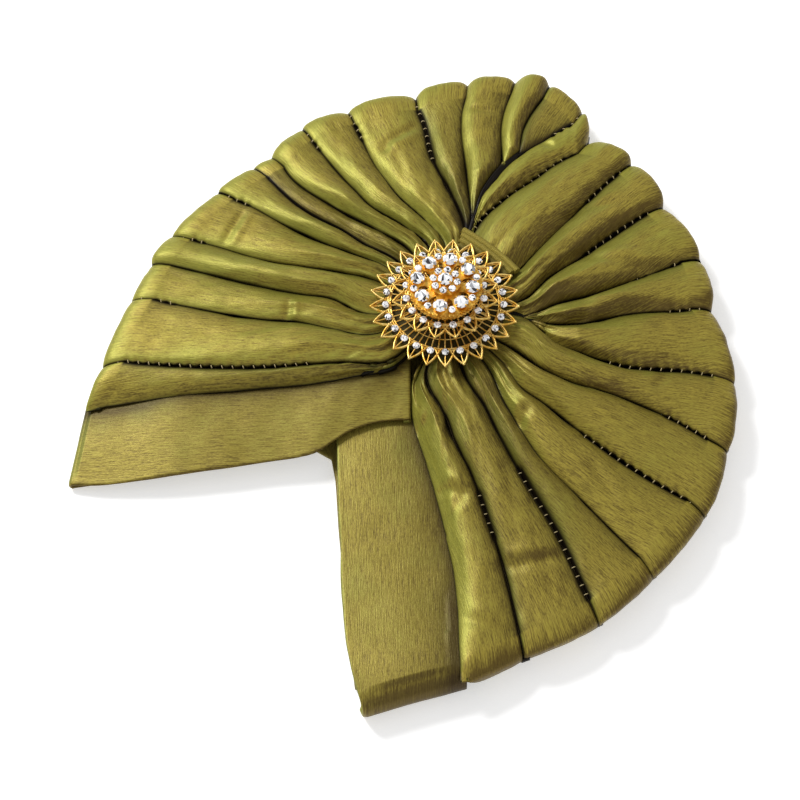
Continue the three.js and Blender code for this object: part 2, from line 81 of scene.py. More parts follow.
def from_hex(text):
    """A colour as (r, g, b, 1) in linear light, from its sRGB hex value."""
    shares = [int(text[i:i + 2], 16) / 255 for i in (1, 3, 5)]
    linear = [c / 12.92 if c <= 0.04045 else ((c + 0.055) / 1.055) ** 2.4 for c in shares]
    return (*linear, 1)


def add_node(tree, kind, settings=None, links=None):
    """Adds a node with its settings (properties or input values) and the sockets linked to its inputs."""
    made = tree.nodes.new(kind)
    for name, value in (settings or {}).items():
        if isinstance(name, int) or name in made.inputs:
            made.inputs[name].default_value = value
        else:
            setattr(made, name, value)
    for name, socket in (links or {}).items():
        tree.links.new(socket, made.inputs[name])
    return made


def new_material(name):
    """An empty material, ready for nodes."""
    material = bpy.data.materials.new(name)
    material.use_nodes = True
    material.node_tree.nodes.clear()
    return material


def two_tones(tree, value, deep, light):
    """A colour from deep to light by a value, as a ramp."""
    ramp = add_node(tree, "ShaderNodeValToRGB", links={"Fac": value})
    ramp.color_ramp.elements[0].color = from_hex(deep)
    ramp.color_ramp.elements[1].color = from_hex(light)
    return ramp


def add_surface(tree, settings, links):
    """Gives the material its surface."""
    skin = add_node(tree, "ShaderNodeBsdfPrincipled", settings, links)
    add_node(tree, "ShaderNodeOutputMaterial", links={"Surface": skin.outputs["BSDF"]})


def area_light(name, place, size, watts):
    """A square soft light that points at the middle of the cap."""
    data = bpy.data.lights.new(name, "AREA")
    data.energy = watts
    data.size = size
    lamp = put(name, data)
    lamp.location = place
    lamp.rotation_euler = (CAMERA_AIM - Vector(place)).to_track_quat("-Z", "Y").to_euler()


area_light("key_light", **KEY)
area_light("fill_light", **FILL)
room = bpy.data.worlds.new("white_room")
room.use_nodes = True
room.node_tree.nodes["Background"].inputs["Color"].default_value = from_hex("#ffffff")
room.node_tree.nodes["Background"].inputs["Strength"].default_value = ROOM_STRENGTH
bpy.context.scene.world = room
bpy.context.scene.view_settings.view_transform = "Standard"

# White paper: bright and matt, with a faint grain that keeps it from looking empty
paper = new_material("white_paper")
tree = paper.node_tree
grain = add_node(tree, "ShaderNodeTexNoise", {"Scale": 1 / PAPER_GRAIN})
tone = two_tones(tree, grain.outputs["Fac"], "#fbfbfb", "#ffffff")
add_surface(
    tree, {"Roughness": 0.9, "Emission Color": from_hex("#ffffff"), "Emission Strength": PAPER_GLOW},
    {"Base Color": tone.outputs["Color"]},
)
bpy.ops.mesh.primitive_plane_add(size=FLOOR_SIZE, location=(0, 0, -FLOOR_DROP))
floor = bpy.context.object
floor.name = "floor"
floor.data.materials.append(paper)


# The pleats' cloth: shot taffeta, woven with a dark brown warp and a yellow-green weft. Slub threads run
# out along each pleat and it shines softly. Where a fold turns away from the key light it is painted brown,
# as painted shade, and where it turns towards the light it is painted green, as painted light; together
# they stand in for the shot cloth's change of colour. Its seams and the cloth beside a lip are painted dark,
# as painted shade. The real threads are too fine to show, so the slubs and threads are drawn coarser, at
# these sizes in metres.
SLUB = {"wide": 0.00046, "long": 0.0075, "deep": 0.00016}
THREAD = {"wide": 0.00036, "long": 0.00144, "deep": 0.00008}

# How the streaks mix the two noises and where they show, how much they and the broad patches move the
# balance of green and brown, and how that balance turns into the two colours
STREAKS = {"threads": 0.45, "from": 0.52, "to": 0.88, "brown": 0.34}
PATCHES = {"to_a_metre": 32.0, "strength": 0.8, "shift": -0.21}
TO_GREEN = {"From Min": 0.5, "From Max": 0.05, "To Max": 0.6}
TO_BROWN = {"From Min": 0.55, "From Max": 1.15, "To Max": 0.95}


def taffeta(name, light, deep, green, brown, shade):
    """Shot taffeta. UV is in metres, v along the slub threads. turned runs from 0, towards the light and
    painted green as painted light, to 1, away from it and painted brown as painted shade. A second
    attribute is painted shade, by how deep in a seam or under another part the cloth lies: it mixes the
    cloth towards the colour shade."""
    material = new_material(name)
    tree = material.node_tree
    place = add_node(tree, "ShaderNodeUVMap", {"uv_map": "UVMap"})
    slubs_at = add_node(
        tree, "ShaderNodeMapping", {"Scale": (1 / SLUB["wide"], 1 / SLUB["long"], 1)},
        {"Vector": place.outputs["UV"]},
    )
    slubs = add_node(
        tree, "ShaderNodeTexNoise", {"Scale": 1.0, "Detail": 3.0, "Roughness": 0.6},
        {"Vector": slubs_at.outputs["Vector"]},
    )
    threads_at = add_node(
        tree, "ShaderNodeMapping", {"Scale": (1 / THREAD["wide"], 1 / THREAD["long"], 1)},
        {"Vector": place.outputs["UV"]},
    )
    threads = add_node(
        tree, "ShaderNodeTexNoise", {"Scale": 1.0, "Detail": 1.0}, {"Vector": threads_at.outputs["Vector"]},
    )
    patches = add_node(
        tree, "ShaderNodeTexNoise", {"Scale": PATCHES["to_a_metre"], "Detail": 2.0},
        {"Vector": place.outputs["UV"]},
    )
    mixed = add_node(
        tree, "ShaderNodeMath", {"operation": "MULTIPLY_ADD", 1: STREAKS["threads"]},
        {0: threads.outputs["Fac"], 2: slubs.outputs["Fac"]},
    )
    streak = add_node(
        tree, "ShaderNodeMapRange", {"From Min": STREAKS["from"], "From Max": STREAKS["to"]},
        {"Value": mixed.outputs["Value"]},
    )
    weft = add_node(
        tree, "ShaderNodeMix", {"data_type": "RGBA", 6: from_hex(deep), 7: from_hex(light)},
        {0: streak.outputs["Result"]},
    )
    turned = add_node(tree, "ShaderNodeAttribute", {"attribute_name": "turned"})
    cloudy = add_node(
        tree, "ShaderNodeMath", {"operation": "MULTIPLY_ADD", 1: PATCHES["strength"], 2: PATCHES["shift"]},
        {0: patches.outputs["Fac"]},
    )
    streaky = add_node(
        tree, "ShaderNodeMath", {"operation": "MULTIPLY_ADD", 1: -STREAKS["brown"]},
        {0: streak.outputs["Result"], 2: cloudy.outputs["Value"]},
    )
    share = add_node(
        tree, "ShaderNodeMath", {"operation": "ADD", "use_clamp": True},
        {0: turned.outputs["Fac"], 1: streaky.outputs["Value"]},
    )
    to_green = add_node(tree, "ShaderNodeMapRange", TO_GREEN, {"Value": share.outputs["Value"]})
    greened = add_node(
        tree, "ShaderNodeMix", {"data_type": "RGBA", 7: from_hex(green)},
        {0: to_green.outputs["Result"], 6: weft.outputs[2]},
    )
    to_brown = add_node(tree, "ShaderNodeMapRange", TO_BROWN, {"Value": share.outputs["Value"]})
    shot = add_node(
        tree, "ShaderNodeMix", {"data_type": "RGBA", 7: from_hex(brown)},
        {0: to_brown.outputs["Result"], 6: greened.outputs[2]},
    )
    painted_shade = add_node(tree, "ShaderNodeAttribute", {"attribute_name": "painted_shade"})
    cloth = add_node(
        tree, "ShaderNodeMix", {"data_type": "RGBA", 7: from_hex(shade)},
        {0: painted_shade.outputs["Fac"], 6: shot.outputs[2]},
    )
    low = add_node(
        tree, "ShaderNodeBump", {"Strength": 0.9, "Distance": SLUB["deep"]}, {"Height": slubs.outputs["Fac"]},
    )
    fine = add_node(
        tree, "ShaderNodeBump", {"Strength": 0.6, "Distance": THREAD["deep"]},
        {"Height": threads.outputs["Fac"], "Normal": low.outputs["Normal"]},
    )
    add_surface(tree, {
        "Roughness": 0.42, "Metallic": 0.3, "Sheen Weight": 0.06, "Sheen Roughness": 0.35,
        "Sheen Tint": from_hex("#d8c08c"), "Specular IOR Level": 0.2,
    }, {"Base Color": cloth.outputs[2], "Normal": fine.outputs["Normal"]})
    return material


pleat_taffeta = taffeta("shot_taffeta", "#a8963d", "#73652a", "#8b9039", "#4d3617", "#120c05")


# The fan of pleats: taffeta laid in 26 pleats round the hub, each lying over the next and sewn down to it,
# with its outer edge rolled to the underside. Bearings are clockwise from the far side, in degrees, and
# reaches are from the hub, in millimetres, as all sizes here are.
HUB_HOLE = 14
EDGE_ROLL = 8
REACHES = (14, 35, 50, 65, 80, 110)
VALLEY = {"hub": 18.5, "edge": 14.4, "from": 0.2, "to": 1.05}

# The rolled edge's section: how far out from the last row and how high, evenly spaced round the roll
EDGE_SECTION = (
    (0, 14.4), (4, 13.9), (7, 12.8), (8.7, 11.2), (9.1, 9.4), (8.9, 7.2), (7.4, 4.4), (4.8, 2.2), (2.2, 0.9),
)

# The cloth's length round the roll, its thickness, the narrowest pleat in degrees and the lowest place
# over the floor, then the mesh's steps, the waves in the cloth, the side turned away from the light, which
# is painted brown as painted shade, and the painted highlight that keeps the pleats' lips green
ROUND_THE_EDGE = 22
CLOTH = 0.8
NARROWEST = 0.4
LOWEST = 0.6
STEPS_OUT = 120
STEPS_ROUND = 22
MIDWAY = 75
PLEAT_RIPPLE = {"depth": 0.55, "size": 9, "stretch": 4}
SHADE_SIDE = Vector((0.62, -0.55, 0.0))
LIP_HIGHLIGHT = {"strength": 0.55, "wide": 4}

# A pleat's section: how steep it may get, how it starts low at the hub and is full from full_at, and the
# reaches between which it flattens from a dome to a blade with two lips. A lip stands higher the more its
# fold lies over its neighbour (lean), and has a share of that (inside) before the pleat flattens.
RISE = {"steepest": 0.42, "at_hub": 0.62, "full_at": 0.45}
FLATTENS = {"from": 60, "to": 115, "round_keeps": 0.6}
DOME = {"high": 0.9, "less_flat": 0.7, "power": 0.9}
LIP = {"least": 0.1, "lean": 0.65, "inside": 0.6, "bend": 0.8, "round": 1.5, "widest": 0.35}

# How much the pleats sink towards the edge, how far they bow out there, and how the free edges lie on
# the bands
SINK = {"all": 0.2, "flat": 0.45, "from": 0.65}
BOW = {"out": 0.8, "rise": 0.2, "full_at": 0.4}
FREE_EDGE = {"over_band": 1.0, "least": 0.7}

# The gathers beside the hub: the coarse and the fine ones' waves, heights and where they have gone
GATHERS = {"wave": 7.5, "high": 0.8, "from": 30, "gone": 92}
FINE_GATHERS = {"wave": 15, "high": 0.35, "gone": 60}

# A seam between two pleats. A fold that lies over or under by more than OVERLAPS has a lip: it hangs over
# the next pleat, and painted shade is laid on that pleat beside it. The gap between them is a groove darkened
# with painted shade, and wider where the seam is sewn.
OVERLAPS = 0.4
FULL_WIDTH = 6
JOINT = {"under": 2.2, "down": 1.9}
OVERHANG = {"far": 0.5, "wide": 0.8}
GAP = {"deep": 1.0, "least": 0.2, "slope": 0.9, "wide": 0.3, "sewn": 0.75, "lip": 0.35}
LIP_SHADE = {"strength": 0.62, "wide": 4.5}
PUCKER = {"far": 0.75, "wide": 2, "fade": 4}

# One row a fold: its bearings at the reaches 35, 50, 65, 80 and 110 and at its own reach, that reach,
# and how it lies: 1 over the pleat before it, -1 under it, 0 a plain crease
FOLDS = [
    ((220, 232, 239, 244, 250, 255), 165, 1),
    ((225, 239, 246, 250, 256, 262), 154, 0.9),
    ((251, 260, 266, 268, 272, 275), 141, 0.6),
    ((269, 278, 279, 280, 282, 283), 136, 1),
    ((299, 295, 292, 290, 290, 290), 132, 0.8),
    ((313, 308, 305, 304, 304, 303), 125, 0.8),
    ((322, 316, 314, 312, 313, 314), 121, 0.2),
    ((336, 328, 322, 319, 318, 320), 119, 1),
    ((350, 339, 331, 329, 328, 328), 124, 0.8),
    ((362, 351, 343, 340, 339, 339), 123, 0.8),
    ((378, 370, 363, 358, 355, 353), 124, 0.3),
    ((380, 375, 371, 368, 365, 366), 131, 0.8),
    ((379, 378, 378, 379, 375, 375), 137, 0.7),
    ((384, 384, 384, 384, 380, 382), 140, -0.9),
    ((376, 376, 376, 379, 387, 392), 132, 0.9),
    ((377, 378, 383, 388, 395, 398), 118, -0.5),
    ((418, 413, 410, 408, 406, 406), 122, -0.9),
    ((440, 429, 425, 422, 419, 419), 118, -0.9),
    ((454, 445, 442, 439, 435, 434), 121, -0.9),
    ((456, 457, 454, 450, 448, 447), 120, -0.9),
    ((453, 467, 469, 469, 465, 464), 132, -0.9),
    ((482, 484, 483, 480, 478, 479), 140, -0.9),
    ((495, 499, 497, 496, 494, 491), 149, -0.9),
    ((506, 510, 511, 511, 508, 505), 155, -0.6),
    ((525, 521, 520, 519, 517, 517), 163, -0.3),
    ((554, 542, 537, 533, 530, 529), 169, -0.4),
    ((565, 557, 550, 545, 540, 538), 179, -1),
]

# One row a pleat: its height, how far its outline bows out past its two folds, and how round it is
# (1 a full roll, 0 a flat blade)
PLEATS = [
    (4, 0.5, 0.2), (4, 0.5, 0.2), (3, 0, 0.3), (5.5, 1.5, 0.4), (4, 0.3, 0.3), (4.5, 1.2, 0.3),
    (1.5, 0.5, 0.3), (5, 1, 0.4), (4.5, 2, 0.4), (4.5, 3, 0.5), (5, 5, 0.5), (5, 4, 0.6),
    (5, 4, 0.9), (3.5, 3, 0.5), (5.5, 3, 0.8), (6, 4, 0.8), (6, 3, 0.8), (6, 1.5, 0.8),
    (6, 1.5, 0.8), (6, 0.5, 0.8), (6, 1.5, 0.7), (6, 1.5, 0.7), (5.5, 1, 0.8), (6, 1.5, 0.9),
    (5.5, 1.5, 0.8), (5, 0.5, 0.6),
]

# Where the fan's two free edges lie, by pleat: the reach and the band's height under them
BAND_UNDER_EDGE = {
    0: ((15, 50, 72, 95, 130, 165), (13.2, 12.9, 11.2, 10.4, 8.4, 5.6)),
    25: ((44, 80, 128, 142, 156, 179), (10, 10.5, 10.5, 11.2, 13, 15)),
}

# Where each fold is sewn down with long stitches: the fold's number and the reaches from and to
STITCH = {"apart": 4.5, "long": 1.7, "thick": 0.5, "high": 1.2, "lower_on_roll": 0.6}
SEWN = (
    (1, 67, 152), (2, 124, 138), (4, 118, 130), (5, 110, 122), (8, 110, 121), (9, 106, 120),
    (10, 86, 121), (14, 114, 128), (15, 48, 106), (16, 92, 117), (17, 74, 112), (18, 90, 93),
    (18, 109, 112), (19, 102, 117), (20, 78, 128), (21, 112, 134), (22, 88, 143), (24, 88, 152),
    (25, 94, 114),
)

# Creases pressed into the pleats: start and end as x and y, then depth and width
CREASE = {"deep": 0.75, "wide": 1.3}
CREASES = [
    (-92, 58, -101, 38, 1.1, 1.6), (-70, 6, -71, -5, 1.2, 1.4), (-11, 106, -26, 95, 1.3, 1.8),
    (-26, 96, -27, 88, 0.9, 1.4), (14, 114, 25, 112, 1.0, 1.4), (45, 96, 52, 92, 1.2, 1.5),
    (-15, -60, -7, -56, 1.6, 2.2), (-4, -89, 10, -93, 1.8, 2.0), (10, -93, -3, -97, 0.9, 2.0),
    (-1, -106, 8, -95, 1.2, 2.0), (22, -128, 52, -122, 1.5, 2.2), (31, -61, 37, -50, 1.3, 2.0),
    (47, 3, 92, 1, 1.5, 2.4), (58, -9, 66, 0, 1.5, 2.0), (92, -40, 99, -34, 1.1, 1.8),
    (58, 30, 98, 22, 1.4, 2.4), (50, 48, 84, 62, 1.2, 2.2), (4, -150, 33, -160, 0.9, 2.4),
    (-82, 14, -60, 7, 1.1, 1.8), (-53, 62, -40, 44, 1.2, 2.0), (-110, 18, -90, 17, 0.8, 1.6),
    (62, -78, 74, -96, 1.2, 2.0), (24, -76, 30, -98, 1.3, 2.0),
]


def ease(x, start, end):
    """0 before start, 1 after end, and a smooth rise between them."""
    t = np.clip((np.asarray(x, dtype=float) - start) / (end - start), 0, 1)
    return t * t * (3 - 2 * t)


def through(knots, values, x):
    """A smooth curve through (knot, value) pairs, read at x."""
    knots = np.asarray(knots, dtype=float)
    values = np.asarray(values, dtype=float)
    slopes = np.gradient(values, knots)
    i = np.clip(np.searchsorted(knots, x) - 1, 0, len(knots) - 2)
    span = knots[i + 1] - knots[i]
    t = np.clip((x - knots[i]) / span, 0, 1)
    a, b = values[i], values[i + 1]
    rise = (3 - 2 * t) * t * t
    return (
        a + (b - a) * rise
        + span * t * (1 - t) * ((1 - t) * slopes[i] - t * slopes[i + 1])
    )


def fold_lines(share):
    """The bearing and reach of every fold at shares of the way out. No fold crosses the next one."""
    bearing = np.empty((len(FOLDS), len(share)))
    reach = np.empty_like(bearing)
    for k, (bearings, end, _) in enumerate(FOLDS):
        knots = [r for r in REACHES if r < end - 6] + [end]
        values = [bearings[0]] + list(bearings[:len(knots) - 2]) + [bearings[-1]]
        reach[k] = HUB_HOLE + (end - EDGE_ROLL - HUB_HOLE) * share
        bearing[k] = through(knots, values, reach[k])
    for k in range(len(FOLDS) - 2, -1, -1):
        bearing[k] = np.minimum(bearing[k], bearing[k + 1] - NARROWEST)
    return bearing, reach


def edge_columns(width, count):
    """Places across a pleat, in mm from its first fold: close together at the folds, even between them."""
    near = np.array([0, 0.15, 0.45, 0.9, 1.5, 2.3])
    close = near[None, :] * np.clip(width / 14, 0.25, 1)[:, None]
    middle = np.linspace(0, 1, count - 2 * len(near) + 2)[1:-1][None, :]
    left = close[:, -1:]
    right = width[:, None] - left
    return np.hstack([close, left + (right - left) * middle, width[:, None] - close[:, ::-1]])


def valley_height(share):
    """The height of the valleys between the pleats, at shares of the way out."""
    return VALLEY["hub"] + (VALLEY["edge"] - VALLEY["hub"]) * ease(share, VALLEY["from"], VALLEY["to"])


def pleat_height(k, x, width, reach, share):
    """The rise of pleat k over its valley, at x mm from its first fold: a dome between two lips."""
    high, _, roundness = PLEATS[k]
    grown = RISE["at_hub"] + (1 - RISE["at_hub"]) * ease(share, 0, RISE["full_at"])
    full = np.minimum(high, width * RISE["steepest"]) * grown
    flat = ease(reach, FLATTENS["from"], FLATTENS["to"]) * (1 - roundness * FLATTENS["round_keeps"])
    arch = np.sin(np.pi * np.clip(x / width, 0, 1)) ** DOME["power"]
    dome = full * (DOME["high"] - DOME["less_flat"] * flat) * arch
    lips = []
    rounded = 1.0
    for over, away in ((FOLDS[k][2], x), (-FOLDS[k + 1][2], width - x)):
        lip = full * (LIP["least"] + LIP["lean"] * max(over, 0))
        lip = lip * (LIP["inside"] + (1 - LIP["inside"]) * flat)
        bend = LIP["bend"] * (1 + lip) * (0.7 + LIP["round"] * roundness)
        bend = np.minimum(bend, width * LIP["widest"])
        rounded = rounded * np.sqrt(np.clip(1 - (1 - np.clip(away / bend, 0, 1)) ** 2, 0, 1))
        lips.append(lip)
    t = x / width
    return (lips[0] + (lips[1] - lips[0]) * t * t * (3 - 2 * t)) * rounded + dome


def pleat_rows():
    """The rows of a pleated sheet: shares of the way out from the hub, then angles round the edge roll."""
    rows = [(share, 90.0) for share in np.linspace(0, 1, STEPS_OUT)]
    return rows + [(1.0, 90.0 - turn) for turn in np.linspace(0, 180, STEPS_ROUND)[1:]]


def sewn_share(k, reach):
    """1 where fold k is sewn down, 0 elsewhere, and how far the stitches pucker its lip there, in mm."""
    sewn = np.zeros_like(reach)
    for fold, start, end in SEWN:
        if fold == k:
            inside = ease(reach, start - PUCKER["fade"], start)
            sewn = np.maximum(sewn, inside * (1 - ease(reach, end, end + PUCKER["fade"])))
    return sewn, PUCKER["far"] * sewn * (0.5 + 0.5 * np.cos(math.tau * reach / STITCH["apart"]))


def pleat_columns(k, count):
    """The grid of one pleat: its cloth's place, rise, painted seam shade and painted lip highlight for each
    row and column.
    """
    share, angle = np.array(pleat_rows()).T[:, :, None]
    bearing, line = (lines[k:k + 2, :, None] for lines in fold_lines(share[:, 0]))
    middle = (line[0] + line[1]) / 2
    width = np.radians(bearing[1] - bearing[0]) * middle
    x = edge_columns(width[:, 0], count)
    rise = pleat_height(k, x, width, middle, share)
    open_share = np.clip(width / FULL_WIDTH, 0.05, 1)
    slide = np.zeros_like(x)
    groove = np.zeros_like(x)
    painted_shade = np.zeros_like(x)
    joints = []
    for side, way, over, away in ((0, 1, FOLDS[k][2], x), (1, -1, -FOLDS[k + 1][2], width - x)):
        sewn, pucker = sewn_share(k + side, line[side])
        sewn = sewn * (share < 1)
        lip = over > OVERLAPS
        overhang = OVERHANG["far"] * np.exp(-away / OVERHANG["wide"]) * np.clip(width / FULL_WIDTH, 0, 1)
        slide += way * lip * (pucker * np.exp(-away / PUCKER["wide"]) - overhang)
        groove += ((GAP["deep"] + sewn) * (not lip) + GAP["least"]) * np.exp(-away / GAP["slope"])
        # Painted shade: dark in the seam itself, and beside a lip on the pleat that lies under it
        painted_shade += np.exp(-(away / (GAP["lip"] + (not lip) * (GAP["wide"] + GAP["sewn"] * sewn))) ** 2)
        painted_shade += LIP_SHADE["strength"] * (share < 1) * (not lip) * np.exp(-away / LIP_SHADE["wide"])
        joints.append(side * width + way * JOINT["under"] * np.sign(over) * open_share)
    x = np.hstack([joints[0], x + slide, joints[1]])
    t = np.clip(x / width, -0.2, 1.2)
    down = -JOINT["down"] * open_share
    ones = np.ones_like(width)
    return {
        "bearing": bearing[0] + np.degrees(x / middle), "across": x, "part": t,
        "reach": line[0] + (line[1] - line[0]) * np.clip(t, 0, 1),
        "rise": np.hstack([down, rise - groove * open_share, down]),
        "painted_shade": np.hstack([ones, np.clip(painted_shade, 0, 1), ones]),
        "share": share + 0 * x, "angle": np.radians(angle) + 0 * x,
        "flat": 1 - PLEATS[k][2] + 0 * x, "number": k + 0 * x,
        # Painted highlight: a fold that lies over its neighbour has its lip painted green near the edge
        "lip": (FOLDS[k][2] > OVERLAPS) * np.exp(-np.clip(x, 0, None) / LIP_HIGHLIGHT["wide"]),
        "bow": BOW["out"] * PLEATS[k][1] * (1 - np.abs(2 * np.clip(t, 0, 1) - 1) ** 4),
    }


def gather(across, number, reach):
    """The sharp little folds of the gathered cloth, tallest beside the hub and gone by mid-pleat."""
    wave = np.sin(across * GATHERS["wave"] + number * 2.1 + reach * 0.02)
    fine = np.sin(across * FINE_GATHERS["wave"] + number * 4.7 - reach * 0.03)
    fine_high = FINE_GATHERS["high"] * (1 - ease(reach, GATHERS["from"], FINE_GATHERS["gone"]))
    tall = GATHERS["high"] * (1 - 2 * np.abs(wave)) + fine_high * (1 - 2 * np.abs(fine))
    return tall * (1 - ease(reach, GATHERS["from"], GATHERS["gone"]))


def pressed(x, y):
    """How far the creases press the cloth down at places x, y, with a low welt beside each."""
    down = np.zeros_like(x)
    for x0, y0, x1, y1, depth, wide in CREASES:
        run_x, run_y = x1 - x0, y1 - y0
        long = math.hypot(run_x, run_y)
        along = ((x - x0) * run_x + (y - y0) * run_y) / long ** 2
        off = ((y - y0) * run_x - (x - x0) * run_y) / long / (CREASE["wide"] * wide)
        fade = ease(along, -0.15, 0.3) * (1 - ease(along, 0.7, 1.15))
        down += CREASE["deep"] * depth * fade * (np.exp(-off ** 2) - 0.5 * np.exp(-(off - 2) ** 2))
    return down


def pleated_points(first, last, count):
    """The points of the pleats first to last, with their painted seam shade, place on the cloth and painted
    lip highlight.
    """
    parts = []
    start = 0.0
    for k in range(first, last + 1):
        part = pleat_columns(k, count)
        part["laid"] = part["across"] + start
        start += part["across"][:, -1:].max()
        t = np.clip(part["across"] / part["across"][:, -1:], 0, 1)
        part["free"] = (1 - t) * (k == 0) + t * (k == len(PLEATS) - 1)
        parts.append(part)
    field = {name: np.hstack([part[name] for part in parts]) for name in parts[0]}
    top = 1 - field["painted_shade"]
    valley = valley_height(field["share"])
    under = BAND_UNDER_EDGE.get(last if last == len(PLEATS) - 1 else first)
    band_top = np.zeros_like(valley) if under is None else through(*under, field["reach"])
    valley = valley - (valley - band_top - FREE_EDGE["over_band"]) * field["free"] ** 2
    round_share = np.where(field["share"] < 1, 0.0, (math.pi / 2 - field["angle"]) / math.pi)
    section = np.array(EDGE_SECTION).T
    knots = np.linspace(0, 1, len(EDGE_SECTION))
    outward = through(knots, section[0], round_share)
    high = through(knots, section[1], round_share) / EDGE_SECTION[0][1]
    above = 1 - ease(round_share, 0.25, 0.75)
    sink = (SINK["all"] + SINK["flat"] * field["flat"]) * ease(field["share"], SINK["from"], 1)
    rise = field["rise"] * (1 - sink)
    rise += gather(field["part"], field["number"], field["reach"]) * top
    bulge = above * (field["bow"] + BOW["rise"] * field["rise"])
    reach = field["reach"] + outward + ease(round_share, 0, BOW["full_at"]) * bulge
    bearing = np.radians(field["bearing"])
    x, y = reach * np.sin(bearing), reach * np.cos(bearing)
    z = valley * high + (rise - pressed(x, y) * top) * above
    z = np.maximum(z, field["free"] ** 2 * (band_top + FREE_EDGE["least"]))
    points = np.stack([x, y, np.maximum(z, LOWEST)], axis=-1)
    uv = np.stack([field["laid"], field["reach"] + ROUND_THE_EDGE * round_share], axis=-1)
    return points, field["painted_shade"], uv, field["lip"]


def pick(*pieces):
    """Selects these pieces alone and makes the first one active."""
    bpy.ops.object.select_all(action="DESELECT")
    for piece in pieces:
        piece.select_set(True)
    bpy.context.view_layer.objects.active = pieces[0]


def grid_mesh(name, points, painted_shade, uv):
    """A mesh object from a grid of points in mm, with its UV map in metres and its attribute of painted
    shade.
    """
    index = np.arange(painted_shade.size).reshape(painted_shade.shape)
    faces = np.stack([index[:-1, :-1], index[:-1, 1:], index[1:, 1:], index[1:, :-1]], axis=-1)
    mesh = bpy.data.meshes.new(name)
    mesh.from_pydata((points.reshape(-1, 3) / 1000).tolist(), [], faces.reshape(-1, 4).tolist())
    layer = mesh.uv_layers.new(name="UVMap")
    corners = np.empty(len(mesh.loops), dtype=np.int32)
    mesh.loops.foreach_get("vertex_index", corners)
    layer.data.foreach_set("uv", (uv.reshape(-1, 2)[corners] / 1000).ravel())
    depth = mesh.attributes.new("painted_shade", "FLOAT", "POINT")
    depth.data.foreach_set("value", painted_shade.ravel())
    return put(name, mesh)


def shade_by_turn(made, lip=0.0):
    """Writes how far each point of the cloth turns to the right and front, away from the key light, as
    painted brown shade, and to the left and back, as painted green light; both stand in for the shot cloth's
    change of colour. A pleat's lip is painted green as well, as a painted highlight."""
    mesh = made.data
    normals = np.empty(len(mesh.vertices) * 3)
    mesh.vertex_normals.foreach_get("vector", normals)
    facing = normals.reshape(-1, 3) @ np.array(SHADE_SIDE.normalized())
    turned = 0.5 + 0.5 * ease(facing, 0.02, 0.55) - 0.5 * ease(-facing, 0.03, 0.45)
    turned = np.clip(turned - LIP_HIGHLIGHT["strength"] * np.ravel(lip), 0, 1)
    values = mesh.attributes.new("turned", "FLOAT", "POINT")
    values.data.foreach_set("value", turned)


def ripple(made, depth, size, stretch):
    """Moves a cloth's points along their normals by soft noise that is stretched away from the hub."""
    mesh = made.data
    places = np.empty(len(mesh.vertices) * 3)
    mesh.vertices.foreach_get("co", places)
    normals = np.empty(len(mesh.vertices) * 3)
    mesh.vertex_normals.foreach_get("vector", normals)
    places = places.reshape(-1, 3)
    x, y, z = (places * 1000).T
    bearing = np.arctan2(x, y) * MIDWAY / size
    reach = np.hypot(x, y) / (size * stretch)
    height = z / (size * 4)
    moves = [noise.fractal(Vector(at), 0.7, 2.1, 3) for at in zip(bearing, reach, height)]
    places += normals.reshape(-1, 3) * np.array(moves)[:, None] * depth / 1000
    mesh.vertices.foreach_set("co", places.ravel())
    mesh.update()


def finish_cloth(made, thick, material):
    """Gives a cloth its wall, its smooth faces and its material."""
    pick(made)
    wall = made.modifiers.new("wall", "SOLIDIFY")
    wall.thickness = thick / 1000
    wall.offset = -1
    bpy.ops.object.modifier_apply(modifier="wall")
    bpy.ops.object.shade_smooth()
    made.data.materials.append(material)
    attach(made, "root")


def pleated_sheet(name, first, last, count):
    """The pleats first to last as one cloth, with count columns to a pleat."""
    points, painted_shade, uv, lip = pleated_points(first, last, count)
    made = grid_mesh(name, points, painted_shade, uv)
    ripple(made, **PLEAT_RIPPLE)
    shade_by_turn(made, lip)
    finish_cloth(made, CLOTH, pleat_taffeta)
    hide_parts("crown", "crown_edge")
    return made


pleated_sheet("pleats_front", 0, 6, 28)
pleats_far = pleated_sheet("pleats_far", 7, 14, 28)
pleats_right = pleated_sheet("pleats_right", 15, 20, 30)
pleated_sheet("pleats_near", 21, 25, 34)


# The two bands: smooth double strips of the same taffeta along the head opening, turned under at their
# rims and rolled over at their free tips. Each goes under the fan's free edge, where it is sewn down.

# The hem's section, from underneath to the top: how far in from the rim and how far down, and the end's:
# how far back and how far down
HEM = (
    (5.0, 1.7), (2.5, 1.75), (1.0, 1.75), (0.35, 1.5), (0.0, 0.95), (0.12, 0.45), (0.5, 0.12), (1.2, 0.0),
    (2.4, 0.0),
)
END_HEM = ((0.0, 0.5), (0.0, 1.2), (0.6, 1.7), (3.0, 1.8))
BAND_CLOTH = 0.5
BAND_STEPS = {"along": 150, "across": 46, "tip": 12}
BAND_RIPPLE = {"depth": 0.5, "size": 30, "stretch": 1.5}
PUFF = {"high": 1.1, "fade": 25}
TURNED_UNDER = {"far": 50, "drawn_in": 0.16}
FAN_SHADE = {"strength": 0.8, "wide": 6}

# How far a band runs on under the fan, and the reaches between which that shrinks to half
TUCK = {"under": 6, "slack": 0.4, "from": 128, "to": 142}

